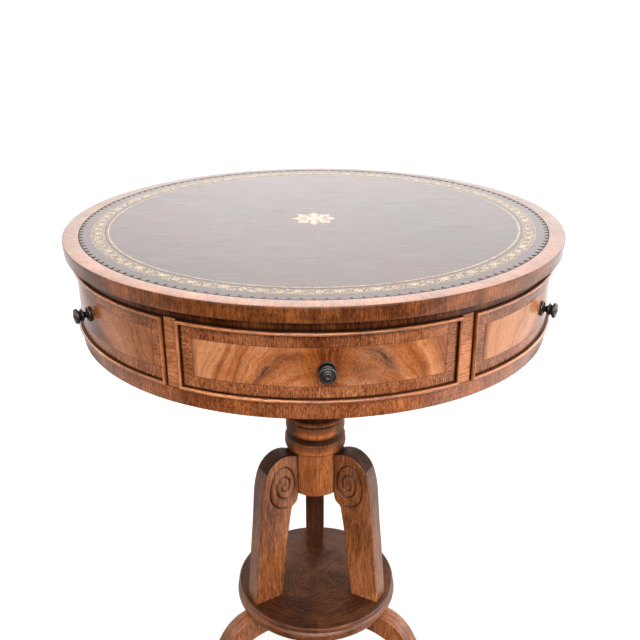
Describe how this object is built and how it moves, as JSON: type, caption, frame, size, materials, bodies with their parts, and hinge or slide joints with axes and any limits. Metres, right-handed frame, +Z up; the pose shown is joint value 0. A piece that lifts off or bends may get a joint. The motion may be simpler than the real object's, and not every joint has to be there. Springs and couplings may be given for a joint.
{
  "type": "drum table",
  "caption": "Revolving drum table with a gold-tooled leather top, bowed drawers and dummy fronts with cock beads and turned knobs, on a turned column with scroll legs and swept feet.",
  "frame": {"origin": "on the floor, on the axis of the pedestal", "axes": "+Z up; the front drawer faces -Y and +X is to its right"},
  "size_m": [0.61, 0.6227, 0.73],
  "materials": {
    "flame_veneer": "french polished, high gloss",
    "crossbanded_wood": "french polished, high gloss",
    "bead_wood": "polished",
    "turned_wood": "polished, worn at the edges",
    "lining_wood": "plain, unpolished",
    "leather": "waxed and polished, gold tooled",
    "dark_bronze": "dark patina, polished",
    "steel": "plain",
    "brass": "plain",
    "felt": "matt"
  },
  "bodies": {
    "base": {"bearing_block": "turned_wood", "foot_dowels": "lining_wood", "hub_dowels": "lining_wood", "leg_screws": "steel", "pedestal_column": "turned_wood", "pivot_bolt": "steel", "pivot_nut": "steel", "pivot_washer": "steel", "platform": "turned_wood", "sabre_foot_front_left": "turned_wood", "sabre_foot_front_right": "turned_wood", "sabre_foot_rear": "turned_wood", "scroll_leg_front_left": "turned_wood", "scroll_leg_front_right": "turned_wood", "scroll_leg_rear": "turned_wood", "slip_ring": "felt"},
    "drum": {"drawer_guides": "lining_wood", "drawer_kickers": "lining_wood", "drawer_limit_stops": "lining_wood", "drawer_runners": "lining_wood", "drum_floor": "lining_wood", "drum_stiles": "crossbanded_wood", "dummy_cock_beads": "bead_wood", "dummy_knob_roses": "dark_bronze", "dummy_knobs": "dark_bronze", "dummy_left_face": "flame_veneer", "dummy_rear_face": "flame_veneer", "dummy_right_face": "flame_veneer", "leather_inset": "leather", "lower_rail": "crossbanded_wood", "pivot_bush": "brass", "top_board": "lining_wood", "top_lipping": "crossbanded_wood", "top_screws": "steel", "upper_rail": "crossbanded_wood"},
    "drawer_front": {"drawer_front_back": "lining_wood", "drawer_front_bottom": "lining_wood", "drawer_front_cock_bead": "bead_wood", "drawer_front_face": "flame_veneer", "drawer_front_knob": "dark_bronze", "drawer_front_knob_rose": "dark_bronze", "drawer_front_side_a": "lining_wood", "drawer_front_side_b": "lining_wood"},
    "drawer_right": {"drawer_right_back": "lining_wood", "drawer_right_bottom": "lining_wood", "drawer_right_cock_bead": "bead_wood", "drawer_right_face": "flame_veneer", "drawer_right_knob": "dark_bronze", "drawer_right_knob_rose": "dark_bronze", "drawer_right_side_a": "lining_wood", "drawer_right_side_b": "lining_wood"},
    "drawer_left": {"drawer_left_back": "lining_wood", "drawer_left_bottom": "lining_wood", "drawer_left_cock_bead": "bead_wood", "drawer_left_face": "flame_veneer", "drawer_left_knob": "dark_bronze", "drawer_left_knob_rose": "dark_bronze", "drawer_left_side_a": "lining_wood", "drawer_left_side_b": "lining_wood"}
  },
  "joints": [
    {"name": "drum_turn", "type": "hinge", "parent": "base", "child": "drum", "pos_m": [0, 0, 0.607], "axis": [0, 0, 1], "continuous": true},
    {"name": "front_drawer_slide", "type": "slide", "parent": "drum", "child": "drawer_front", "axis": [0, -1, 0], "range_m": [0, 0.115]},
    {"name": "right_drawer_slide", "type": "slide", "parent": "drum", "child": "drawer_right", "axis": [0.866, 0.5, 0], "range_m": [0, 0.115]},
    {"name": "left_drawer_slide", "type": "slide", "parent": "drum", "child": "drawer_left", "axis": [-0.866, 0.5, 0], "range_m": [0, 0.115]}
  ]
}
